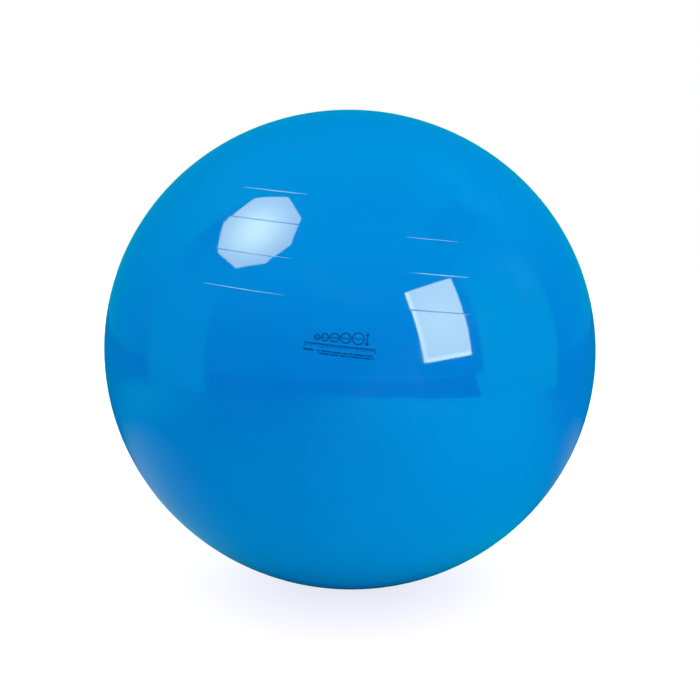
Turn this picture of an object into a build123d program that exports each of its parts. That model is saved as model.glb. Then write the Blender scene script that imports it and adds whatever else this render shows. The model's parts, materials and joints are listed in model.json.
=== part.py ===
from build123d import *
import os
from math import cos, radians, sin, sqrt

# An inflated exercise ball that rests on a level floor, in millimetres. The origin is the middle of
# the place where it stands, +Z is up, and the axis through its valve leans towards +X.

# Ball
BALL_RADIUS = 475.0  # half of the largest width
FLATTENING = 0.975  # pole to centre, over equator to centre
SKIN = 0.8  # wall of the inflated skin
AXIS_LEAN = 6.2  # degrees between the valve axis and the vertical
PATCH_RADIUS = 60.0  # part of the skin that the floor presses flat

# Raised lines moulded round the valve axis
FIRST_RING = 17.5  # degrees from the equator
RING_PITCH = 7.5  # degrees from one ring to the next
RINGS_PER_SIDE = 4
RING_WIDTH = 2.6
RING_HEIGHT = 0.3
PARTING_WIDTH = 1.6
PARTING_HEIGHT = 0.15

# Valve seat, moulded into the skin at the upper pole
NECK_RADIUS = 15.0  # fills the hole in the skin
FLANGE_RADIUS = 22.0  # bonded under the skin
FLANGE_DEPTH = 3.2
HUB_DEPTH = 6.5
TUBE_RADIUS = 8.0
TUBE_DEPTH = 24.0
BORE_RADIUS = 4.5
RECESS_RADIUS = 9.6
RECESS_DEPTH = 1.8
SEAT_FILLET = 1.2
BORE_LEAD_IN = 0.6

# Push-in plug
HEAD_RADIUS = 9.0
HEAD_THICKNESS = 2.6
HEAD_EDGE = 0.8
STEM_RADIUS = 4.25
STEM_LENGTH = 21.0
RIB_COUNT = 3
RIB_PITCH = 5.0
FIRST_RIB = 4.5  # below the head
RIB_SECTION_RADIUS = 0.6
RIB_CLEARANCE = 0.05  # between a rib and the bore
TIP_CHAMFER = 1.4
STEM_CORE_RADIUS = 2.4
STEM_CORE_DEPTH = 17.0

POLE = BALL_RADIUS * FLATTENING
lean = radians(AXIS_LEAN)
reach_down = sqrt((BALL_RADIUS * sin(lean)) ** 2 + (POLE * cos(lean)) ** 2)
centre_height = reach_down * sqrt(1 - (PATCH_RADIUS / BALL_RADIUS) ** 2)

# Every section is drawn in this plane, with x out from the valve axis and y along it.
section_plane = Plane(
    origin=(0, 0, centre_height),
    x_dir=(cos(lean), 0, -sin(lean)),
    z_dir=(0, -1, 0),
)
ball_axis = Axis((0, 0, centre_height), (sin(lean), 0, cos(lean)))


def under_surface(latitude, depth):
    """Point of the ball's section at a latitude in degrees, a depth straight under the surface."""
    angle = radians(latitude)
    surface = Vector(BALL_RADIUS * cos(angle), POLE * sin(angle))
    outward = Vector(cos(angle) / BALL_RADIUS, sin(angle) / POLE).normalized()
    return surface - outward * depth


def bead_radius(width, height):
    """Radius of a round bead of a width, standing a height out of the surface."""
    return (width**2 / 4 + height**2) / (2 * height)


def corner_at(sketch, x, y):
    """The corner of a sketch that is nearest to a point."""
    return sketch.vertices().sort_by_distance((x, y, 0))[0]


ring_latitudes = [FIRST_RING + RING_PITCH * i for i in range(RINGS_PER_SIDE)]
band_edges = [-90, *[-latitude for latitude in reversed(ring_latitudes)], 0, *ring_latitudes, 90]

# The air inside, which stops a skin's thickness short of the surface and of the floor. It is drawn in
# the same bands as the surface outside, so that both sides of the thin skin are divided alike.
with BuildPart() as air_space:
    with BuildSketch(section_plane):
        with BuildLine():
            for start, end in zip(band_edges, band_edges[1:]):
                EllipticalCenterArc((0, 0), BALL_RADIUS - SKIN, POLE - SKIN, start, arc_size=end - start)
            Line((0, POLE - SKIN), (0, SKIN - POLE))
        make_face()
    revolve(axis=ball_axis, clean=False)
    split(bisect_by=Plane.XY.offset(SKIN), keep=Keep.TOP)

# The skin, in one piece with its rings and the parting line of its mould
ring_radius = bead_radius(RING_WIDTH, RING_HEIGHT)
parting_radius = bead_radius(PARTING_WIDTH, PARTING_HEIGHT)

with BuildPart() as ball_shell:
    with BuildSketch(section_plane):
        Ellipse(BALL_RADIUS, POLE)
        for latitude in ring_latitudes:
            with Locations(
                under_surface(latitude, ring_radius - RING_HEIGHT),
                under_surface(-latitude, ring_radius - RING_HEIGHT),
            ):
                Circle(ring_radius)
        with Locations(under_surface(0, parting_radius - PARTING_HEIGHT)):
            Circle(parting_radius)
        with Locations((0, POLE)):
            Rectangle(2 * NECK_RADIUS, 2 * TUBE_DEPTH, mode=Mode.SUBTRACT)
        split(bisect_by=Plane.YZ, keep=Keep.TOP)
    revolve(axis=ball_axis)
    split(bisect_by=Plane.XY, keep=Keep.TOP)
    add(air_space.part, clean=False, mode=Mode.SUBTRACT)

# The seat's neck ends flush with the surface, and its flange lies against the inside of the skin.
with BuildSketch() as neck_section:
    Ellipse(BALL_RADIUS, POLE)
    with Locations((0, POLE)):
        Rectangle(2 * NECK_RADIUS, 2 * FLANGE_DEPTH, mode=Mode.INTERSECT)

with BuildSketch() as flange_section:
    Ellipse(BALL_RADIUS - SKIN, POLE - SKIN)
    with Locations((0, POLE)):
        Rectangle(2 * FLANGE_RADIUS, 2 * FLANGE_DEPTH, mode=Mode.INTERSECT)

with BuildPart() as valve_seat:
    with BuildSketch(section_plane) as seat_section:
        add(neck_section.sketch)
        add(flange_section.sketch)
        with Locations((0, POLE - FLANGE_DEPTH)):
            Rectangle(2 * NECK_RADIUS, HUB_DEPTH - FLANGE_DEPTH, align=(Align.CENTER, Align.MAX))
            Rectangle(2 * TUBE_RADIUS, TUBE_DEPTH - FLANGE_DEPTH, align=(Align.CENTER, Align.MAX))
        split(bisect_by=Plane.YZ, keep=Keep.TOP)
        fillet(corner_at(seat_section, TUBE_RADIUS, POLE - HUB_DEPTH), SEAT_FILLET)
        fillet(corner_at(seat_section, NECK_RADIUS, POLE - HUB_DEPTH), SEAT_FILLET)
        fillet(corner_at(seat_section, NECK_RADIUS, POLE - FLANGE_DEPTH), SEAT_FILLET)
        with Locations((0, POLE - TUBE_DEPTH)):
            Rectangle(2 * BORE_RADIUS, 2 * TUBE_DEPTH, align=(Align.CENTER, Align.MIN), mode=Mode.SUBTRACT)
        with Locations((0, POLE - RECESS_DEPTH)):
            Rectangle(
                2 * RECESS_RADIUS, 2 * RECESS_DEPTH, align=(Align.CENTER, Align.MIN), mode=Mode.SUBTRACT
            )
        chamfer(corner_at(seat_section, BORE_RADIUS, POLE - RECESS_DEPTH), BORE_LEAD_IN)
    revolve(axis=ball_axis)

# The plug's head lies on the floor of the recess, and its ribs fill the bore.
head_base = POLE - RECESS_DEPTH
stem_tip = head_base - STEM_LENGTH
rib_centre = BORE_RADIUS - RIB_CLEARANCE - RIB_SECTION_RADIUS
rib_heights = [head_base - FIRST_RIB - RIB_PITCH * i for i in range(RIB_COUNT)]

with BuildPart() as valve_plug:
    with BuildSketch(section_plane) as plug_section:
        with Locations((0, head_base)):
            Rectangle(HEAD_RADIUS, HEAD_THICKNESS, align=(Align.MIN, Align.MIN))
            Rectangle(STEM_RADIUS, STEM_LENGTH, align=(Align.MIN, Align.MAX))
        fillet(corner_at(plug_section, HEAD_RADIUS, head_base + HEAD_THICKNESS), HEAD_EDGE)
        chamfer(corner_at(plug_section, STEM_RADIUS, stem_tip), TIP_CHAMFER)
        with Locations(*[(rib_centre, height) for height in rib_heights]):
            Circle(RIB_SECTION_RADIUS)
        with Locations((0, stem_tip)):
            Rectangle(
                STEM_CORE_RADIUS, STEM_CORE_DEPTH, align=(Align.MIN, Align.MIN), mode=Mode.SUBTRACT
            )
    revolve(axis=ball_axis)

ball_shell.part.label = "ball_shell"
valve_seat.part.label = "valve_seat"
valve_plug.part.label = "valve_plug"

os.makedirs("parts", exist_ok=True)
export_step(ball_shell.part, "parts/ball_shell.step")
export_step(valve_seat.part, "parts/valve_seat.step")
export_step(valve_plug.part, "parts/valve_plug.step")
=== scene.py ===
import json
import math

import bmesh
import bpy
import numpy as np
from mathutils import Matrix, Vector


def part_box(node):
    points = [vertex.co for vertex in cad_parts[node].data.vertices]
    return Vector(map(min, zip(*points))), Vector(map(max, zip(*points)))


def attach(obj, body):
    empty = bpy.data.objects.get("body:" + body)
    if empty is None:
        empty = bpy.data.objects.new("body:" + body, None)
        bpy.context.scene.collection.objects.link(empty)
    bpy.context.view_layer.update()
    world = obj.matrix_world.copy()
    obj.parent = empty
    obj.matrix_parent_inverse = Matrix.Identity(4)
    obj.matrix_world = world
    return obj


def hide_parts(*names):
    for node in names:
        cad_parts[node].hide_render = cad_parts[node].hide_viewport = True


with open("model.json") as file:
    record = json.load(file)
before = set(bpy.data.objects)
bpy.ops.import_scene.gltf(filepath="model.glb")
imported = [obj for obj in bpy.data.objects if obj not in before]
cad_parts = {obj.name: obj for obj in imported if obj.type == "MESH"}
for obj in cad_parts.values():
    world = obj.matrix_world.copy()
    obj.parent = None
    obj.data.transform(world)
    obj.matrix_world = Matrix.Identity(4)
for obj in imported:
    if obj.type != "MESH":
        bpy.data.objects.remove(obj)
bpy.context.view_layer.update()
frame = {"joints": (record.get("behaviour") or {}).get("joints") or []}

# The look of an inflated exercise ball, in metres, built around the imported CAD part: a vinyl skin with
# moulded rings, the valve seat and plug at its upper pole, and a small print on its front.

MM = 0.001

# ---------------------------------------- sizes that the looks share with the CAD part
FLATTENING = 0.975  # pole to centre, over equator to centre
SKIN = 0.8 * MM
FIRST_RING = 17.5  # degrees from the equator
RING_PITCH = 7.5
RINGS_PER_SIDE = 4
PARTING_WIDTH = 1.6 * MM
PARTING_HEIGHT = 0.15 * MM  # what the CAD's parting line adds to the radius
# the moulded lines look finer than the CAD's, as their feet run out softly
RING_SEEN_WIDTH = 1.8 * MM
RING_SEEN_HEIGHT = 0.2 * MM
PARTING_SEEN_HEIGHT = 0.06 * MM
BEAD_MARGIN = 0.35 * MM  # from a bead's foot to the first row of the plain skin
NECK_RADIUS = 15.0 * MM
FLANGE_RADIUS = 22.0 * MM
FLANGE_DEPTH = 3.2 * MM
HUB_DEPTH = 6.5 * MM
TUBE_RADIUS = 8.0 * MM
TUBE_DEPTH = 24.0 * MM
SEAT_FILLET = 1.2 * MM
BORE_RADIUS = 4.5 * MM
BORE_LEAD_IN = 0.6 * MM
RECESS_RADIUS = 9.6 * MM
RECESS_DEPTH = 1.8 * MM
HEAD_RADIUS = 9.0 * MM
HEAD_THICKNESS = 2.6 * MM
HEAD_EDGE = 0.8 * MM
STEM_RADIUS = 4.25 * MM
STEM_LENGTH = 21.0 * MM
RIB_COUNT = 3
RIB_PITCH = 5.0 * MM
FIRST_RIB = 4.5 * MM
RIB_SECTION_RADIUS = 0.6 * MM
RIB_CLEARANCE = 0.05 * MM
TIP_CHAMFER = 1.4 * MM
STEM_CORE_RADIUS = 2.4 * MM
STEM_CORE_DEPTH = 17.0 * MM

# ---------------------------------------- the ball's own frame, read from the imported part
low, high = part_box("ball_shell")
RADIUS = (high.y - low.y) / 2 - PARTING_HEIGHT
POLE = RADIUS * FLATTENING
VALVE_AXIS = Vector(frame["joints"][0]["axis"]).normalized()
REACH_UP = math.hypot(RADIUS * VALVE_AXIS.x, POLE * VALVE_AXIS.z)
CENTRE = Vector(((low.x + high.x) / 2, (low.y + high.y) / 2, high.z - REACH_UP))
TURN = np.array(Matrix.Rotation(math.atan2(VALVE_AXIS.x, VALVE_AXIS.z), 3, "Y"))


def place(points):
    """Points given in the ball's frame, with z along the valve axis, in the row frame."""
    return np.asarray(points) @ TURN.T + np.array(CENTRE)


def section(latitude, rise=0.0):
    """Distances from the valve axis and along it, at latitudes in degrees, risen along the normal."""
    angle = np.radians(latitude)
    c, s = np.cos(angle), np.sin(angle)
    length = np.hypot(c / RADIUS, s / POLE)
    return RADIUS * c + rise * c / RADIUS / length, POLE * s + rise * s / POLE / length


def level(out, depth=0.0):
    """Height of the ball's surface, or of one a depth inside it, near the upper pole."""
    return (POLE - depth) * math.sqrt(1 - (out / (RADIUS - depth)) ** 2)


# ---------------------------------------- camera
CAMERA_ELEVATION = 8.7  # degrees
CAMERA_DISTANCE = 4.5 * RADIUS
CAMERA_LENS = 55.49
AIM_BELOW_CENTRE = 1.6 * MM

cam_data = bpy.data.cameras.new("camera")
camera = bpy.data.objects.new("camera", cam_data)
bpy.context.scene.collection.objects.link(camera)
cam_data.lens = CAMERA_LENS
cam_data.clip_end = 100
elevation = math.radians(CAMERA_ELEVATION)
backward = Vector((0, -math.cos(elevation), math.sin(elevation)))
camera.location = CENTRE + backward * CAMERA_DISTANCE - Vector((0, 0, AIM_BELOW_CENTRE))
camera.rotation_euler = (-backward).to_track_quat("-Z", "Y").to_euler()
bpy.context.scene.camera = camera


# ---------------------------------------- node helpers
def new_tree(owner):
    """The emptied node tree of a material or world."""
    owner.use_nodes = True
    owner.node_tree.nodes.clear()
    return owner.node_tree


def node(tree, kind, **inputs):
    """A new shader node, with some inputs set to values or joined to sockets."""
    made = tree.nodes.new("ShaderNode" + kind)
    for name, value in inputs.items():
        socket = made.inputs[name.replace("_", " ")]
        if isinstance(value, bpy.types.NodeSocket):
            tree.links.new(value, socket)
        else:
            socket.default_value = value
    return made


def maths(tree, operation, *values):
    """The result of a Math node."""
    made = tree.nodes.new("ShaderNodeMath")
    made.operation = operation
    for socket, value in zip(made.inputs, values):
        if isinstance(value, bpy.types.NodeSocket):
            tree.links.new(value, socket)
        else:
            socket.default_value = value
    return made.outputs[0]


def spread(tree, value, from_low, from_high, to_low, to_high):
    """A value carried smoothly from one range to another."""
    made = node(tree, "MapRange", Value=value)
    made.interpolation_type = "SMOOTHSTEP"
    made.inputs["From Min"].default_value = from_low
    made.inputs["From Max"].default_value = from_high
    made.inputs["To Min"].default_value = to_low
    made.inputs["To Max"].default_value = to_high
    return made.outputs["Result"]


def blend_colours(tree, factor, first, second):
    """A colour between two others."""
    return node(tree, "MixRGB", Fac=factor, Color1=(*first, 1), Color2=(*second, 1)).outputs["Color"]


# ---------------------------------------- studio
bpy.context.scene.view_settings.view_transform = "Standard"

# The walls and floor that the gloss picks up are tinted blue-green, so that the ball's blue stays pure.
BOX_COLOUR = (0.87, 1.05, 0.66)

OCTABOX_RADIUS = 0.68
OCTABOX_GLOW = (7.5, 4.2)  # at the middle, and at the edge
OCTABOX_ROLL = math.radians(15)
OCTABOX_SPOT = (-0.148, -0.382, 0.238)  # where the ball shows it, from the ball's centre
OCTABOX_WAY = (-0.558, -0.201, 0.805)  # from that spot to the box
WINDOW_SIZE = (0.89, 1.26)
WINDOW_GLOW = (6.3, 5.6)
WINDOW_ROLL = math.radians(4)
WINDOW_SPOT = (0.138, -0.434, 0.11)
WINDOW_WAY = (0.635, -0.701, 0.325)
WINDOW_BORDER = 0.07  # the cloth is brighter along the left and lower edges
WINDOW_BORDER_GLOW = (7.6, 7.6)
BOX_DISTANCE = 2.0
BORDER_FORWARD = 2 * MM  # the bright border hangs this far before the rest of the cloth
BOX_CARRY = (2.18, 2.25)  # how far a box's light carries before it is gone

PANEL_DISTANCE = 2.4
PANEL_HEIGHT = 4.2
PANEL_STEPS = 24
RIGHT_PANEL = (53.5, 96.0)  # degrees round from the camera
LEFT_PANEL = (-59.5, -92.0)
PANEL_BRIGHTEST = 1.0  # height above the floor
PANEL_GLOW = (1.05, 0.55)
PANEL_REACH = 2.6
RIGHT_PANEL_COLOUR = (0.0, 1.3, 0.95)
LEFT_PANEL_COLOUR = (0.0, 0.78, 0.75)
OPENING_COLOUR = (0.0, 0.15, 0.22)

FLOOR_RADIUS = 8.0
FLOOR_GLOW = (0.36, 0.78)  # light that the floor gives the ball, at the left and at the right
FLOOR_GLOW_SEEN = 0.74
FLOOR_ALBEDO = 0.42
# the floor's glow as the ball's gloss sees it, painted light at the left, at the right and behind the ball
FLOOR_GLOSS_LEFT = (0.0, 0.3, 0.12)
FLOOR_GLOSS_RIGHT = (0.0, 1.2, 1.0)
FLOOR_GLOSS_BEHIND = (0.0, 0.2, 0.38)
PAINTED_LIGHT_PATCHES = [  # middle, reach and colour of painted pools of light on the floor beside the ball, which only the gloss sees
    ((-0.66, 0.22, 0.0), 0.66, (0.2, 0.2, 0.19)),
    ((0.8, 0.55, 0.0), 0.5, (0.14, 0.1, 0.06)),
    ((-1.9, 0.0, 0.0), 1.4, (0.0, 0.45, 0.34)),
]
PAINTED_CONTACT_SHADE = (0.08, 0.4)  # where the floor, as the gloss sees it, is painted darker towards the contact: a painted contact shadow
FLOOR_CROSSING = (-1.2, 1.2)  # where the floor turns from its left look to its right one
FLOOR_TURNING = (-0.8, 0.4)  # where it turns from its front look to the one behind the ball
FLOOR_SEGMENTS = 96
FLOOR_DROP = 0.5 * MM
OPENING_LIFT = 1 * MM
OPENING_EDGE = [(-2.07, -1.2), (-1.53, -1.86), (-0.76, -2.74), (0.88, -2.51), (1.93, -1.43)]
OPENING_FAR = [(6.35, -4.7), (0.0, -7.9), (-6.8, -4.0)]

AMBIENT = 1.23
AMBIENT_LEAN = (0.12, 0.18, 0.2)  # more light falls from the right, from behind and from above
GREEN_LEAN = (-0.08, 0.47, 0.0)
GLOSS_LOW = (0.0, 0.37, 0.5)
GLOSS_HIGH = (0.0, 1.0, 0.85)
GLOSS_RISE = (0.0, 0.9)  # how far up a direction points where the surround is low, and where it is high
GLOSS_FADE = (0.15, 1.0)  # how far back it points where the high part starts to fade, and where it is gone
TOP_LIGHT_SIZE = 3.0
TOP_LIGHT_POWER = 6
TOP_LIGHT_PLACE = (0.8, -0.6, 3.6)


def glow_material(name, colour, glow, reach, carry=None):
    """A glow that falls off from the middle of its object. Its light may carry only so far."""
    material = bpy.data.materials.new(name)
    tree = new_tree(material)
    away = node(tree, "VectorMath", Vector=node(tree, "TexCoord").outputs["Object"])
    away.operation = "LENGTH"
    strength = spread(tree, away.outputs["Value"], 0.0, reach, *glow)
    surface = node(tree, "Emission", Color=(*colour, 1), Strength=strength)
    if carry:
        beyond = spread(tree, node(tree, "LightPath").outputs["Ray Length"], *carry, 0.0, 1.0)
        light, surface = surface, node(tree, "MixShader", Fac=beyond)
        tree.links.new(light.outputs[0], surface.inputs[1])
        tree.links.new(node(tree, "BsdfTransparent").outputs[0], surface.inputs[2])
    node(tree, "OutputMaterial", Surface=surface.outputs[0])
    return material


def reflected_card(name, middle, points, faces, colour, glow=(1.0, 1.0), reach=1.0, carry=None):
    """A glowing card of the studio, which only reflections see."""
    mesh = bpy.data.meshes.new(name)
    mesh.from_pydata(points, [], faces)
    mesh.materials.append(glow_material(name, colour, glow, reach, carry))
    obj = bpy.data.objects.new(name, mesh)
    obj.location = middle
    bpy.context.scene.collection.objects.link(obj)
    obj.visible_camera = False
    obj.visible_diffuse = False
    obj.visible_transmission = False
    obj.visible_shadow = False


def softbox(name, outline, seen_from, way, glow, roll, forward=0.0):
    """A flat softbox that faces the ball, in a direction from a point of its surface."""
    way = Vector(way).normalized()
    side = Vector((0, 0, 1)).cross(way).normalized()
    up = way.cross(side)
    points = []
    for u, v in outline:
        across, along = u * math.cos(roll) - v * math.sin(roll), u * math.sin(roll) + v * math.cos(roll)
        points.append(side * across + up * along)
    middle = CENTRE + Vector(seen_from) + way * (BOX_DISTANCE - forward)
    reach = max(p.length for p in points)
    reflected_card(name, middle, points, [list(range(len(points)))], BOX_COLOUR, glow, reach, BOX_CARRY)


def side_panel(name, front, back, colour):
    """A curved panel that stands on the floor beside the ball, brightest at its front edge."""
    points, faces = [], []
    for i in range(PANEL_STEPS + 1):
        angle = math.radians(front + (back - front) * i / PANEL_STEPS)
        x, y = PANEL_DISTANCE * math.sin(angle), -PANEL_DISTANCE * math.cos(angle)
        points += [Vector((x, y, 0)), Vector((x, y, PANEL_HEIGHT))]
    for i in range(PANEL_STEPS):
        faces.append((2 * i, 2 * i + 2, 2 * i + 3, 2 * i + 1))
    middle = points[0] + Vector((0, 0, PANEL_BRIGHTEST))
    reflected_card(name, middle, [p - middle for p in points], faces, colour, PANEL_GLOW, PANEL_REACH)


def make_softboxes():
    """An eight-sided box on the left and an oblong one on the right."""
    corners = [math.pi * i / 4 for i in range(8)]
    octagon = [(OCTABOX_RADIUS * math.cos(a), OCTABOX_RADIUS * math.sin(a)) for a in corners]
    softbox("octabox", octagon, OCTABOX_SPOT, OCTABOX_WAY, OCTABOX_GLOW, OCTABOX_ROLL)
    w, h = WINDOW_SIZE[0] / 2, WINDOW_SIZE[1] / 2
    rectangle = [(-w, -h), (w, -h), (w, h), (-w, h)]
    border = [(-w, -h), (w, -h), (w, WINDOW_BORDER - h), (WINDOW_BORDER - w, WINDOW_BORDER - h),
              (WINDOW_BORDER - w, h), (-w, h)]
    softbox("window_box", rectangle, WINDOW_SPOT, WINDOW_WAY, WINDOW_GLOW, WINDOW_ROLL)
    softbox("window_border", border, WINDOW_SPOT, WINDOW_WAY, WINDOW_BORDER_GLOW, WINDOW_ROLL, BORDER_FORWARD)


def lean_of(tree, way, lean):
    """How much a direction leans the way of the light."""
    made = node(tree, "VectorMath", Vector=way)
    made.operation = "DOT_PRODUCT"
    made.inputs[1].default_value = lean
    return made.outputs["Value"]


def make_world():
    """Soft light all round for the ball, a dim surround for its gloss, and white behind it."""
    world = bpy.data.worlds.new("world")
    bpy.context.scene.world = world
    tree = new_tree(world)
    way = node(tree, "TexCoord").outputs["Generated"]
    plain = maths(tree, "ADD", lean_of(tree, way, AMBIENT_LEAN), AMBIENT)
    green = maths(tree, "ADD", lean_of(tree, way, GREEN_LEAN), plain)
    ambient = node(tree, "Background", Color=node(tree, "CombineXYZ", X=plain, Y=green, Z=plain).outputs[0])
    apart = node(tree, "SeparateXYZ", Vector=way).outputs
    high = maths(tree, "MULTIPLY", spread(tree, apart["Z"], *GLOSS_RISE, 0.0, 1.0),
                 spread(tree, apart["Y"], *GLOSS_FADE, 1.0, 0.0))
    surround = blend_colours(tree, high, GLOSS_LOW, GLOSS_HIGH)
    gloss = node(tree, "Background", Color=surround)
    white = node(tree, "Background", Color=(1, 1, 1, 1))
    path = node(tree, "LightPath")
    lit = node(tree, "MixShader", Fac=path.outputs["Is Glossy Ray"])
    tree.links.new(ambient.outputs[0], lit.inputs[1])
    tree.links.new(gloss.outputs[0], lit.inputs[2])
    seen = node(tree, "MixShader", Fac=path.outputs["Is Camera Ray"])
    tree.links.new(lit.outputs[0], seen.inputs[1])
    tree.links.new(white.outputs[0], seen.inputs[2])
    node(tree, "OutputWorld", Surface=seen.outputs[0])


def distance_to(tree, spot, point):
    """The distance from a point."""
    made = node(tree, "VectorMath", Vector=spot)
    made.operation = "DISTANCE"
    made.inputs[1].default_value = point
    return made.outputs["Value"]


def plus(tree, first, second):
    """The sum of two colours."""
    made = node(tree, "VectorMath", Vector=first)
    made.operation = "ADD"
    tree.links.new(second, made.inputs[1])
    return made.outputs["Vector"]


def floor_surface():
    """Nearly white paper with a soft contact shadow. Gloss sees it dimmer behind the ball than before it,
    with painted pools of light beside the ball and painted shade towards the contact.
    """
    material = bpy.data.materials.new("floor")
    tree = new_tree(material)
    path = node(tree, "LightPath")
    spot = node(tree, "TexCoord").outputs["Object"]
    apart = node(tree, "SeparateXYZ", Vector=spot).outputs
    rightward = spread(tree, apart["X"], *FLOOR_CROSSING, 0.0, 1.0)
    given = maths(tree, "MULTIPLY_ADD", rightward, FLOOR_GLOW[1] - FLOOR_GLOW[0], FLOOR_GLOW[0])
    seen = maths(tree, "MAXIMUM", maths(tree, "MULTIPLY", path.outputs["Is Camera Ray"], FLOOR_GLOW_SEEN),
                 maths(tree, "MULTIPLY", maths(tree, "SUBTRACT", 1.0, path.outputs["Is Camera Ray"]), given))
    glow = node(tree, "Emission", Color=(1, 1, 1, 1), Strength=seen)
    paper = node(tree, "BsdfDiffuse", Color=(FLOOR_ALBEDO, FLOOR_ALBEDO, FLOOR_ALBEDO, 1))
    lit = node(tree, "AddShader")
    tree.links.new(glow.outputs[0], lit.inputs[0])
    tree.links.new(paper.outputs[0], lit.inputs[1])
    before = blend_colours(tree, rightward, FLOOR_GLOSS_LEFT, FLOOR_GLOSS_RIGHT)
    behind = spread(tree, apart["Y"], *FLOOR_TURNING, 0.0, 1.0)
    total = node(tree, "MixRGB", Fac=behind, Color1=before, Color2=(*FLOOR_GLOSS_BEHIND, 1)).outputs["Color"]
    # painted pools of light on the floor, seen only in the ball's gloss
    for middle, reach, colour in PAINTED_LIGHT_PATCHES:
        near = spread(tree, distance_to(tree, spot, middle), 0.0, reach, 1.0, 0.0)
        total = plus(tree, total, blend_colours(tree, near, (0, 0, 0), colour))
    # painted contact shadow: the floor's glow that the gloss sees fades out towards the contact
    clear_of_painted_shade = spread(tree, distance_to(tree, spot, (0, 0, 0)), *PAINTED_CONTACT_SHADE, 0.0, 1.0)
    gloss = node(tree, "Emission", Color=total, Strength=clear_of_painted_shade)
    mix = node(tree, "MixShader", Fac=path.outputs["Is Glossy Ray"])
    tree.links.new(lit.outputs[0], mix.inputs[1])
    tree.links.new(gloss.outputs[0], mix.inputs[2])
    node(tree, "OutputMaterial", Surface=mix.outputs[0])
    return material


def make_floor():
    """The floor, and the dark opening before it that only the gloss sees."""
    mesh = bpy.data.meshes.new("floor")
    obj = bpy.data.objects.new("floor", mesh)
    bpy.context.scene.collection.objects.link(obj)
    bm = bmesh.new()
    bmesh.ops.create_circle(bm, cap_ends=True, segments=FLOOR_SEGMENTS, radius=FLOOR_RADIUS,
                            matrix=Matrix.Translation((0, 0, -FLOOR_DROP)))
    bm.to_mesh(mesh)
    bm.free()
    mesh.materials.append(floor_surface())
    dark = [(x, y, OPENING_LIFT) for x, y in OPENING_EDGE + OPENING_FAR]
    reflected_card("studio_opening", (0, 0, 0), dark, [list(range(len(dark)))], OPENING_COLOUR)


def make_top_light():
    """A weak soft light from above."""
    light = bpy.data.lights.new("top", "AREA")
    light.shape = "DISK"
    light.size = TOP_LIGHT_SIZE
    light.energy = TOP_LIGHT_POWER
    obj = bpy.data.objects.new("top", light)
    bpy.context.scene.collection.objects.link(obj)
    obj.location = TOP_LIGHT_PLACE
    obj.rotation_euler = (Vector(obj.location) - CENTRE).to_track_quat("Z", "Y").to_euler()
    obj.visible_glossy = False
    obj.visible_camera = False


make_softboxes()
side_panel("right_panel", *RIGHT_PANEL, RIGHT_PANEL_COLOUR)
side_panel("left_panel", *LEFT_PANEL, LEFT_PANEL_COLOUR)
make_world()
make_floor()
make_top_light()


# ---------------------------------------- lathed pieces
CORNER_POINTS = 6
ON_AXIS = 1e-9


def rounded(corners):
    """A line through corners (out, along, radius), rounded where the radius isn't zero."""
    line = []
    for i, (x, y, radius) in enumerate(corners):
        corner = np.array((x, y), float)
        if radius == 0:
            line.append((x, y))
            continue
        before = np.array(corners[i - 1][:2]) - corner
        after = np.array(corners[(i + 1) % len(corners)][:2]) - corner
        before, after = before / np.linalg.norm(before), after / np.linalg.norm(after)
        half = math.acos(float(np.clip(before @ after, -1, 1))) / 2
        reach = radius / math.tan(half)
        middle = corner + (before + after) / np.linalg.norm(before + after) * radius / math.sin(half)
        start, end = corner + before * reach - middle, corner + after * reach - middle
        turn = math.acos(float(np.clip(start @ end / radius**2, -1, 1)))
        for t in np.linspace(0, 1, CORNER_POINTS):
            spot = (math.sin((1 - t) * turn) * start + math.sin(t * turn) * end) / math.sin(turn)
            line.append(tuple(middle + spot))
    return line


def lathe(loop, segments):
    """Turns a closed section, in the ball's frame, round the valve axis. Returns points and faces."""
    around = np.arange(segments) * 2 * math.pi / segments
    rings, points = [], []
    for out, along in loop:
        if abs(out) < ON_AXIS:
            rings.append([len(points)] * segments)
            points.append((0.0, 0.0, along))
            continue
        rings.append(list(range(len(points), len(points) + segments)))
        points += list(zip(out * np.cos(around), out * np.sin(around), np.full(segments, along)))
    faces = []
    for first, second in zip(rings, rings[1:] + rings[:1]):
        for k in range(segments):
            j = (k + 1) % segments
            corners = []
            for index in (first[k], second[k], second[j], first[j]):
                if index not in corners:
                    corners.append(index)
            if len(corners) > 2:
                faces.append(corners)
    return np.array(points), faces


def new_piece(name, points, faces, body, material, replaced=None):
    """A smooth-shaded piece that rides on a CAD body."""
    mesh = bpy.data.meshes.new(name)
    mesh.from_pydata([tuple(p) for p in points], [], faces)
    bm = bmesh.new()
    bm.from_mesh(mesh)
    bmesh.ops.recalc_face_normals(bm, faces=bm.faces)
    bm.to_mesh(mesh)
    bm.free()
    mesh.materials.append(material)
    obj = bpy.data.objects.new(name, mesh)
    bpy.context.scene.collection.objects.link(obj)
    mesh.shade_smooth()
    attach(obj, body)
    if replaced:
        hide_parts(replaced)
    return obj


def keep_corners(obj, degrees):
    """Shades the edges that are sharper than an angle as corners."""
    obj.data.set_sharp_from_angle(angle=math.radians(degrees))


# ---------------------------------------- skin
SKIN_SEGMENTS = 288
CONTACT_BLEND = 1.5 * MM
HOLE_EDGE = 0.25 * MM
BEAD_ROWS = 10
FEWEST_ROWS = 6  # between two rings
ROW_PITCH = 1.8  # degrees
LOWER_ROW_PITCH = 1.4
INSIDE_ROW_PITCH = 3.4
RINGS = [0.0] + [side * (FIRST_RING + RING_PITCH * i) for side in (1, -1) for i in range(RINGS_PER_SIDE)]


def rows_between(start, end, pitch):
    """Latitudes from start up to, but without, end, closer together near both ends."""
    count = max(FEWEST_ROWS, int(round(abs(end - start) / pitch)))
    t = (1 - np.cos(np.linspace(0, math.pi, count + 1))) / 2
    return list(start + (end - start) * t)[:-1]


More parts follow.
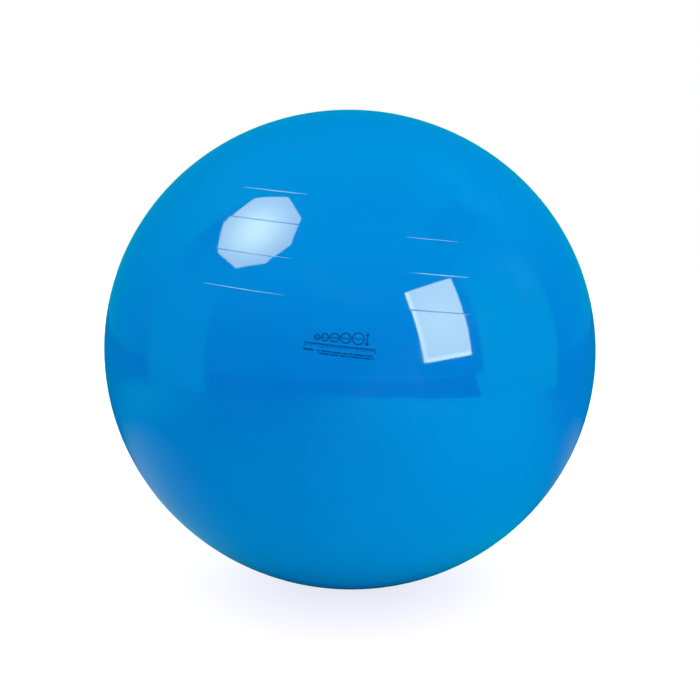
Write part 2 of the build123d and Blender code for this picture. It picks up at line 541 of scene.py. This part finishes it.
def outside_rows():
    """Latitudes in degrees from the valve hole down to the lower pole, fine across each ring."""
    half = math.degrees(RING_SEEN_WIDTH / 2 / RADIUS)
    margin = math.degrees(BEAD_MARGIN / RADIUS)
    upper = math.degrees(math.acos((NECK_RADIUS + HOLE_EDGE) / RADIUS))
    rows = []
    for ring in sorted(RINGS, reverse=True):
        rows += rows_between(upper, ring + half + margin, ROW_PITCH)
        rows.append(ring + half + margin)
        rows += list(np.linspace(ring + half, ring - half, BEAD_ROWS + 1))
        upper = ring - half - margin
    rows += rows_between(upper, -90.0, LOWER_ROW_PITCH)
    return np.array(rows)


def rise_at(latitudes):
    """How far the moulded lines stand out of the surface at latitudes in degrees."""
    rise = np.zeros(len(latitudes))
    for ring in RINGS:
        width, height = RING_SEEN_WIDTH, RING_SEEN_HEIGHT
        if ring == 0:
            width, height = PARTING_WIDTH, PARTING_SEEN_HEIGHT
        offset = np.radians(latitudes - ring) * RADIUS
        bead = height * np.cos(np.pi * np.clip(offset / width, -0.5, 0.5)) ** 2
        rise = np.maximum(rise, bead)
    return rise


def above_floor(points, floor):
    """Presses the points against the floor, with a soft edge to the pressed patch."""
    z = points[:, 2] - floor
    soft = (z + CONTACT_BLEND) ** 2 / (4 * CONTACT_BLEND)
    points[:, 2] = floor + np.where(z > CONTACT_BLEND, z, np.where(z < -CONTACT_BLEND, 0.0, soft))
    return points


def make_skin():
    """The closed shell: its outside, its inside, and the edge of the hole for the valve."""
    outside = outside_rows()
    out, along = section(outside, rise_at(outside))
    outer = list(zip(out, along)) + [(0.0, -POLE)]
    inner = [(0.0, SKIN - POLE)]
    top = math.degrees(math.acos(NECK_RADIUS / (RADIUS - SKIN)))
    for latitude in rows_between(-90.0, top, INSIDE_ROW_PITCH)[1:] + [top]:
        angle = math.radians(latitude)
        inner.append(((RADIUS - SKIN) * math.cos(angle), (POLE - SKIN) * math.sin(angle)))
    edge = [(NECK_RADIUS, level(NECK_RADIUS) - HOLE_EDGE)]
    points, faces = lathe(edge + outer + inner, SKIN_SEGMENTS)
    # the inner pole is the second of the two points on the axis, and the inside follows it
    inside_from = [i for i, p in enumerate(points) if p[0] == 0 and p[1] == 0][1]
    points = place(points)
    points[:inside_from] = above_floor(points[:inside_from], 0.0)
    points[inside_from:] = above_floor(points[inside_from:], SKIN)
    return points, faces


# ---------------------------------------- valve seat
SEAT_SEGMENTS = 128
SEAT_GAP = 0.05 * MM
SEAT_LINE_OUT = 12.4 * MM
SEAT_LINE_WIDTH = 1.2 * MM
SEAT_LINE_HEIGHT = 0.25 * MM
SEAT_TOP_POINTS = 40
RECESS_EDGE = 0.2 * MM
LEAD_IN_EDGE = 0.1 * MM
TUBE_INNER_EDGE = 0.4 * MM
TUBE_OUTER_EDGE = 0.6 * MM
FLANGE_LOWER_EDGE = 0.4 * MM
FLANGE_UPPER_EDGE = 0.3 * MM
NECK_ROOT = 0.1 * MM


def seat_section():
    """The seat's closed section: top, recess, bore, tube, hub and the flange under the skin."""
    top = []
    for out in np.linspace(NECK_RADIUS - 3 * HOLE_EDGE, RECESS_RADIUS + HOLE_EDGE, SEAT_TOP_POINTS):
        offset = np.clip((out - SEAT_LINE_OUT) / SEAT_LINE_WIDTH, -0.5, 0.5)
        top.append((out, level(out) + SEAT_LINE_HEIGHT * math.cos(math.pi * offset) ** 2))
    neck = NECK_RADIUS - SEAT_GAP
    under_skin = SKIN + SEAT_GAP
    rest = rounded([
        (RECESS_RADIUS, level(RECESS_RADIUS), RECESS_EDGE),
        (RECESS_RADIUS, POLE - RECESS_DEPTH, RECESS_EDGE),
        (BORE_RADIUS + BORE_LEAD_IN, POLE - RECESS_DEPTH, LEAD_IN_EDGE),
        (BORE_RADIUS, POLE - RECESS_DEPTH - BORE_LEAD_IN, LEAD_IN_EDGE),
        (BORE_RADIUS, POLE - TUBE_DEPTH, TUBE_INNER_EDGE),
        (TUBE_RADIUS, POLE - TUBE_DEPTH, TUBE_OUTER_EDGE),
        (TUBE_RADIUS, POLE - HUB_DEPTH, SEAT_FILLET),
        (NECK_RADIUS, POLE - HUB_DEPTH, SEAT_FILLET),
        (NECK_RADIUS, POLE - FLANGE_DEPTH, SEAT_FILLET),
        (FLANGE_RADIUS, POLE - FLANGE_DEPTH, FLANGE_LOWER_EDGE),
        (FLANGE_RADIUS, level(FLANGE_RADIUS, under_skin), FLANGE_UPPER_EDGE),
        (neck, level(neck, under_skin), NECK_ROOT),
        (neck, level(neck), HOLE_EDGE),
        top[0] + (0,),
    ])
    return top + rest[:-1]


# ---------------------------------------- valve plug
PLUG_SEGMENTS = 96
HEAD_DISH = 0.3 * MM
HEAD_DISH_RADIUS = 6.4 * MM
HEAD_DISH_SLOPE = 0.6 * MM
GATE_RADIUS = 1.3 * MM
GATE_DEPTH = 0.25 * MM
GATE_SLOPE = 0.2 * MM
GATE_EDGE = 0.1 * MM
DISH_FLOOR_EDGE = 0.5 * MM
DISH_RIM_EDGE = 0.3 * MM
HEAD_LOWER_EDGE = 0.25 * MM
STEM_ROOT = 0.3 * MM
RIB_POINTS = 9
TIP_STRAIGHT = 1 * MM  # of plain stem above the tip's chamfer
TIP_SHOULDER_EDGE = 0.3 * MM
TIP_EDGE = 0.2 * MM
CORE_MOUTH_EDGE = 0.15 * MM
CORE_END_EDGE = 0.5 * MM


def plug_section():
    """The plug's closed section: dished head, ribbed stem and hollow core."""
    base = POLE - RECESS_DEPTH
    top = base + HEAD_THICKNESS
    tip = base - STEM_LENGTH
    line = rounded([
        (0.0, top - HEAD_DISH - GATE_DEPTH, 0),
        (GATE_RADIUS, top - HEAD_DISH - GATE_DEPTH, GATE_EDGE),
        (GATE_RADIUS + GATE_SLOPE, top - HEAD_DISH, GATE_EDGE),
        (HEAD_DISH_RADIUS - HEAD_DISH_SLOPE, top - HEAD_DISH, DISH_FLOOR_EDGE),
        (HEAD_DISH_RADIUS, top, DISH_RIM_EDGE),
        (HEAD_RADIUS, top, HEAD_EDGE),
        (HEAD_RADIUS, base, HEAD_LOWER_EDGE),
        (STEM_RADIUS, base, STEM_ROOT),
        (STEM_RADIUS, base - FIRST_RIB, 0),
    ])[:-1]
    out_of_stem = BORE_RADIUS - RIB_CLEARANCE - RIB_SECTION_RADIUS
    half = math.acos((STEM_RADIUS - out_of_stem) / RIB_SECTION_RADIUS)
    for i in range(RIB_COUNT):
        for angle in np.linspace(half, -half, RIB_POINTS):
            line.append((out_of_stem + RIB_SECTION_RADIUS * math.cos(angle),
                         base - FIRST_RIB - RIB_PITCH * i + RIB_SECTION_RADIUS * math.sin(angle)))
    line += rounded([
        (STEM_RADIUS, tip + TIP_CHAMFER + TIP_STRAIGHT, 0),
        (STEM_RADIUS, tip + TIP_CHAMFER, TIP_SHOULDER_EDGE),
        (STEM_RADIUS - TIP_CHAMFER, tip, TIP_EDGE),
        (STEM_CORE_RADIUS, tip, CORE_MOUTH_EDGE),
        (STEM_CORE_RADIUS, tip + STEM_CORE_DEPTH, CORE_END_EDGE),
        (0.0, tip + STEM_CORE_DEPTH, 0),
    ])
    return line


# ---------------------------------------- print
PRINT_LATITUDE = 9.3  # degrees
PRINT_LONGITUDE = -92.9
PRINT_SCALE = 0.79  # the print is drawn 142 mm wide and laid on the ball at this scale
INK_TOP = 0.06 * MM
INK_BOTTOM = -0.08 * MM
INK_STEP = 4.0 * MM
CIRCLE_STEP = 1.5 * MM
FEWEST_CIRCLE_STEPS = 24
SHARPEST_MITRE = 0.4
LINE = 2.3 * MM
FINE_LINE = 1.7 * MM
DASH = 2.6 * MM
HEADING_DASH = 3.6 * MM


def on_ball(points, rise):
    """Points of the flat print, across and up from its middle, laid on the ball."""
    points = np.asarray(points) * PRINT_SCALE
    middle = math.radians(PRINT_LATITUDE)
    longitude = math.radians(PRINT_LONGITUDE) + points[:, 0] / (RADIUS * math.cos(middle))
    out, along = section(np.degrees(middle + points[:, 1] / RADIUS), rise)
    return np.stack([out * np.cos(longitude), out * np.sin(longitude), along], axis=1)


def divided(line, closed):
    """The line with extra points, so that no step is longer than the ink's longest step."""
    line = [np.array(p, float) for p in line]
    ends = line[1:] + ([line[0]] if closed else [])
    points = []
    for a, b in zip(line, ends):
        steps = max(1, math.ceil(np.linalg.norm(b - a) / INK_STEP))
        points += [a + (b - a) * i / steps for i in range(steps)]
    return points if closed else points + [line[-1]]


class Print:
    """Strokes of ink, each a thin closed solid that follows the ball."""

    def __init__(self):
        self.points = []
        self.faces = []

    def stroke(self, line, width, closed=False):
        """A stroke of a width along a line, mitred at its corners."""
        points = divided(line, closed)
        count = len(points)
        left, right = [], []
        for i, p in enumerate(points):
            before = points[i - 1] if closed or i else p
            after = points[(i + 1) % count] if closed or i < count - 1 else p
            arriving, leaving = p - before, after - p
            ways = [w / np.linalg.norm(w) for w in (arriving, leaving) if np.linalg.norm(w) > 0]
            way = sum(ways) / np.linalg.norm(sum(ways))
            normal = np.array((-way[1], way[0]))
            half = width / 2 / max(SHARPEST_MITRE, float(way @ ways[-1]))
            left.append(p + normal * half)
            right.append(p - normal * half)
        start = len(self.points)
        for side, rise in ((left, INK_TOP), (right, INK_TOP), (right, INK_BOTTOM), (left, INK_BOTTOM)):
            self.points += list(place(on_ball(side, rise)))
        last = count if closed else count - 1
        for corner in range(4):
            this, following = start + corner * count, start + (corner + 1) % 4 * count
            for i in range(last):
                j = (i + 1) % count
                self.faces.append((this + i, this + j, following + j, following + i))
        if not closed:
            for i in (0, count - 1):
                self.faces.append([start + corner * count + i for corner in range(4)])

    def circle(self, x, y, radius, width):
        count = max(FEWEST_CIRCLE_STEPS, int(2 * math.pi * radius / CIRCLE_STEP))
        angles = [2 * math.pi * i / count for i in range(count)]
        line = [(x + radius * math.cos(a), y + radius * math.sin(a)) for a in angles]
        self.stroke(line, width, closed=True)


# the drawing, before it is scaled: across and up from its middle
BALL_RADII = [5.5 * MM, 7.0 * MM, 8.5 * MM, 10.0 * MM, 11.5 * MM]
BALLS_LEFT = -52 * MM
BALLS_BASE = 6 * MM
BALL_GAP = 3.2 * MM
SEAM_REACH = 0.72  # of a ball's radius
SEAM_SAG = 0.8 * MM
ARROW_GAP = 3 * MM
ARROW_INSET = 1.6 * MM
ARROW_HEAD = (3.4 * MM, 4 * MM)
RULER_HALF = 70 * MM
RULER_TOP = -1.5 * MM
RULER_STEPS = 28
LONG_EVERY = 7
LONG_TICK = 7.5 * MM
SHORT_TICK = 4.5 * MM
DASH_ROWS = [(-44 * MM, 66 * MM, -15.0 * MM), (-40 * MM, 69 * MM, -20.2 * MM)]  # start, end and height
DASH_LENGTHS = [6 * MM, 11 * MM, 16 * MM, 21 * MM]
DASH_GAP = 2.4 * MM
HEADING = (-71 * MM, -51 * MM, -15.0 * MM)


def draw_balls(ink):
    """A row of growing balls, each with a seam. Returns where the row ends."""
    across = BALLS_LEFT
    for radius in BALL_RADII:
        across += radius
        middle = BALLS_BASE + radius
        ink.circle(across, middle, radius, LINE)
        reach = radius * SEAM_REACH
        seam = [(across - reach, middle), (across, middle - SEAM_SAG), (across + reach, middle)]
        ink.stroke(seam, FINE_LINE)
        across += radius + BALL_GAP
    return across


def draw_arrow(ink, across):
    """A double arrow, as high as the largest ball."""
    top = BALLS_BASE + 2 * BALL_RADII[-1]
    ink.stroke([(across, BALLS_BASE + ARROW_INSET), (across, top - ARROW_INSET)], LINE)
    half, length = ARROW_HEAD
    for end, inward in ((BALLS_BASE, length), (top, -length)):
        ink.stroke([(across - half, end + inward), (across, end), (across + half, end + inward)], LINE)


def draw_ruler(ink):
    """A ruled line with a long tick at every seventh."""
    ink.stroke([(-RULER_HALF, RULER_TOP), (RULER_HALF, RULER_TOP)], LINE)
    for i in range(RULER_STEPS + 1):
        x = -RULER_HALF + 2 * RULER_HALF * i / RULER_STEPS
        length = LONG_TICK if i % LONG_EVERY == 0 else SHORT_TICK
        ink.stroke([(x, RULER_TOP - LINE), (x, RULER_TOP - length)], FINE_LINE)


def draw_dashes(ink):
    """Two rows of dashes of four lengths in turn, with a bolder one before the first row."""
    for row, (x, end, y) in enumerate(DASH_ROWS):
        number = 0
        while x < end:
            length = DASH_LENGTHS[(number * 7 + row * 3) % len(DASH_LENGTHS)]
            ink.stroke([(x, y), (min(x + length, end), y)], DASH)
            x += length + DASH_GAP
            number += 1
    start, end, y = HEADING
    ink.stroke([(start, y), (end, y)], HEADING_DASH)


def make_print():
    """A size scale: balls of growing size, a height arrow, a ruler and two rows of fine dashes."""
    ink = Print()
    across = draw_balls(ink)
    draw_arrow(ink, across + ARROW_GAP)
    draw_ruler(ink)
    draw_dashes(ink)
    return np.array(ink.points), ink.faces


# ---------------------------------------- materials
def new_material(name, **settings):
    """A material with one Principled shader. Returns it, its tree, its shader and object coordinates."""
    material = bpy.data.materials.new(name)
    tree = new_tree(material)
    shader = node(tree, "BsdfPrincipled", **settings)
    node(tree, "OutputMaterial", Surface=shader.outputs[0])
    return material, tree, shader, node(tree, "TexCoord").outputs["Object"]


def noise(tree, coordinates, scale, detail=2.0, roughness=0.5, distortion=0.0):
    """Cloudy values between 0 and 1."""
    made = node(tree, "TexNoise", Vector=coordinates, Scale=scale, Detail=detail, Roughness=roughness,
                Distortion=distortion)
    return made.outputs["Fac"]


def bump(tree, shader, height, distance, after=None):
    """Joins a height to the shader's normal, on top of an earlier bump."""
    made = node(tree, "Bump", Height=height, Strength=1.0, Distance=distance)
    if after:
        tree.links.new(after.outputs["Normal"], made.inputs["Normal"])
    tree.links.new(made.outputs["Normal"], shader.inputs["Normal"])
    return made


# colours and roughnesses come in pairs, and a noise goes from the first to the second
SKIN_COLOURS = ((0.0, 0.176, 0.54), (0.0, 0.191, 0.57))
SKIN_ROUGHNESS = (0.035, 0.09)  # clean, and smudged by hands
SMUDGE_EDGE = (0.5, 0.72)  # of the noise, from clean to smudged
SCRATCH_ROUGHNESS = 0.12
SCRATCH_CELLS = 9.0  # per metre
SCRATCH_WIDTH = 0.004
SCRATCH_BEND = 0.12
SCRATCH_EDGE = (0.56, 0.66)  # of the noise, from unscratched to scratched
WAVE_HEIGHT = 0.12 * MM
PEEL_HEIGHT = 0.006 * MM
SCRATCH_DEPTH = 0.01 * MM
SEAT_COLOURS = ((0.0, 0.105, 0.37), (0.0, 0.13, 0.43))
SEAT_ROUGHNESS = (0.2, 0.34)
SEAT_GRAIN = 0.02 * MM
PLUG_COLOURS = ((0.56, 0.58, 0.58), (0.42, 0.44, 0.45))
PLUG_ROUGHNESS = (0.26, 0.42)
PLUG_GRAIN = 0.015 * MM
INK_COLOURS = ((0.0, 0.032, 0.2), (0.0, 0.02, 0.15))
INK_ROUGHNESS = (0.06, 0.12)
INK_GRAIN = 0.01 * MM


def skin_vinyl():
    """Glossy blue vinyl: faint mottling, hand smudges, hairline scratches, orange peel and slow waves."""
    material, tree, shader, place_of = new_material("skin_vinyl", IOR=1.5, Specular_IOR_Level=1.0)
    mottle = spread(tree, noise(tree, place_of, 3.0, 4.0), 0.3, 0.7, 0.0, 1.0)
    colour = blend_colours(tree, mottle, *SKIN_COLOURS)
    tree.links.new(colour, shader.inputs["Base Color"])
    smudge = spread(tree, noise(tree, place_of, 7.0, 8.0, 0.65, 0.8), *SMUDGE_EDGE, *SKIN_ROUGHNESS)
    hair = tree.nodes.new("ShaderNodeTexVoronoi")
    hair.feature = "DISTANCE_TO_EDGE"
    hair.inputs["Scale"].default_value = SCRATCH_CELLS
    bent = node(tree, "MixRGB", Fac=SCRATCH_BEND, Color1=place_of)
    warp = node(tree, "TexNoise", Vector=place_of, Scale=2.0, Detail=1.0)
    tree.links.new(warp.outputs["Color"], bent.inputs["Color2"])
    tree.links.new(bent.outputs["Color"], hair.inputs["Vector"])
    thin = spread(tree, hair.outputs["Distance"], 0.0, SCRATCH_WIDTH, 1.0, 0.0)
    where = spread(tree, noise(tree, place_of, 5.0, 2.0), *SCRATCH_EDGE, 0.0, 1.0)
    scratch = maths(tree, "MULTIPLY", thin, where)
    rough = maths(tree, "MULTIPLY_ADD", scratch, SCRATCH_ROUGHNESS, smudge)
    tree.links.new(rough, shader.inputs["Roughness"])
    waves = bump(tree, shader, noise(tree, place_of, 8.0, 1.0), WAVE_HEIGHT)
    peel = bump(tree, shader, noise(tree, place_of, 230.0, 2.0), PEEL_HEIGHT, waves)
    bump(tree, shader, scratch, -SCRATCH_DEPTH, peel)
    return material


def seat_vinyl():
    """Satin vinyl of the seat, a little darker than the skin, with a fine moulded grain."""
    material, tree, shader, place_of = new_material("seat_vinyl", IOR=1.5, Specular_IOR_Level=1.0)
    mottle = spread(tree, noise(tree, place_of, 160.0, 4.0), 0.3, 0.7, 0.0, 1.0)
    tree.links.new(blend_colours(tree, mottle, *SEAT_COLOURS), shader.inputs["Base Color"])
    worn = spread(tree, noise(tree, place_of, 320.0, 5.0), 0.4, 0.7, *SEAT_ROUGHNESS)
    tree.links.new(worn, shader.inputs["Roughness"])
    bump(tree, shader, noise(tree, place_of, 1600.0, 3.0), SEAT_GRAIN)
    return material


def plug_plastic():
    """Grey-white moulded plastic of the plug, handled and darker in places."""
    material, tree, shader, place_of = new_material("plug_plastic", IOR=1.5)
    handled = spread(tree, noise(tree, place_of, 210.0, 6.0, 0.6), 0.45, 0.75, 0.0, 1.0)
    tree.links.new(blend_colours(tree, handled, *PLUG_COLOURS), shader.inputs["Base Color"])
    worn = spread(tree, noise(tree, place_of, 420.0, 4.0), 0.35, 0.7, *PLUG_ROUGHNESS)
    tree.links.new(worn, shader.inputs["Roughness"])
    bump(tree, shader, noise(tree, place_of, 2400.0, 2.0), PLUG_GRAIN)
    return material


def print_ink():
    """Dark-blue ink, a little uneven and duller than the vinyl."""
    material, tree, shader, place_of = new_material("print_ink", IOR=1.45, Specular_IOR_Level=1.0)
    density = spread(tree, noise(tree, place_of, 380.0, 5.0, 0.6), 0.35, 0.65, 0.0, 1.0)
    tree.links.new(blend_colours(tree, density, *INK_COLOURS), shader.inputs["Base Color"])
    worn = spread(tree, noise(tree, place_of, 700.0, 3.0), 0.3, 0.7, *INK_ROUGHNESS)
    tree.links.new(worn, shader.inputs["Roughness"])
    bump(tree, shader, noise(tree, place_of, 1500.0, 2.0), INK_GRAIN)
    return material


# ---------------------------------------- the pieces
CORNER_ANGLE = 50  # degrees
INK_CORNER_ANGLE = 30

points, faces = make_skin()
skin = new_piece("ball_skin", points, faces, "ball", skin_vinyl(), "ball_shell")
keep_corners(skin, CORNER_ANGLE)

points, faces = lathe(seat_section(), SEAT_SEGMENTS)
seat = new_piece("valve_seat_moulding", place(points), faces, "ball", seat_vinyl(), "valve_seat")
keep_corners(seat, CORNER_ANGLE)

points, faces = lathe(plug_section(), PLUG_SEGMENTS)
plug = new_piece("valve_plug_moulding", place(points), faces, "plug", plug_plastic(), "valve_plug")
keep_corners(plug, CORNER_ANGLE)

points, faces = make_print()
size_print = new_piece("size_print", points, faces, "ball", print_ink())
keep_corners(size_print, INK_CORNER_ANGLE)
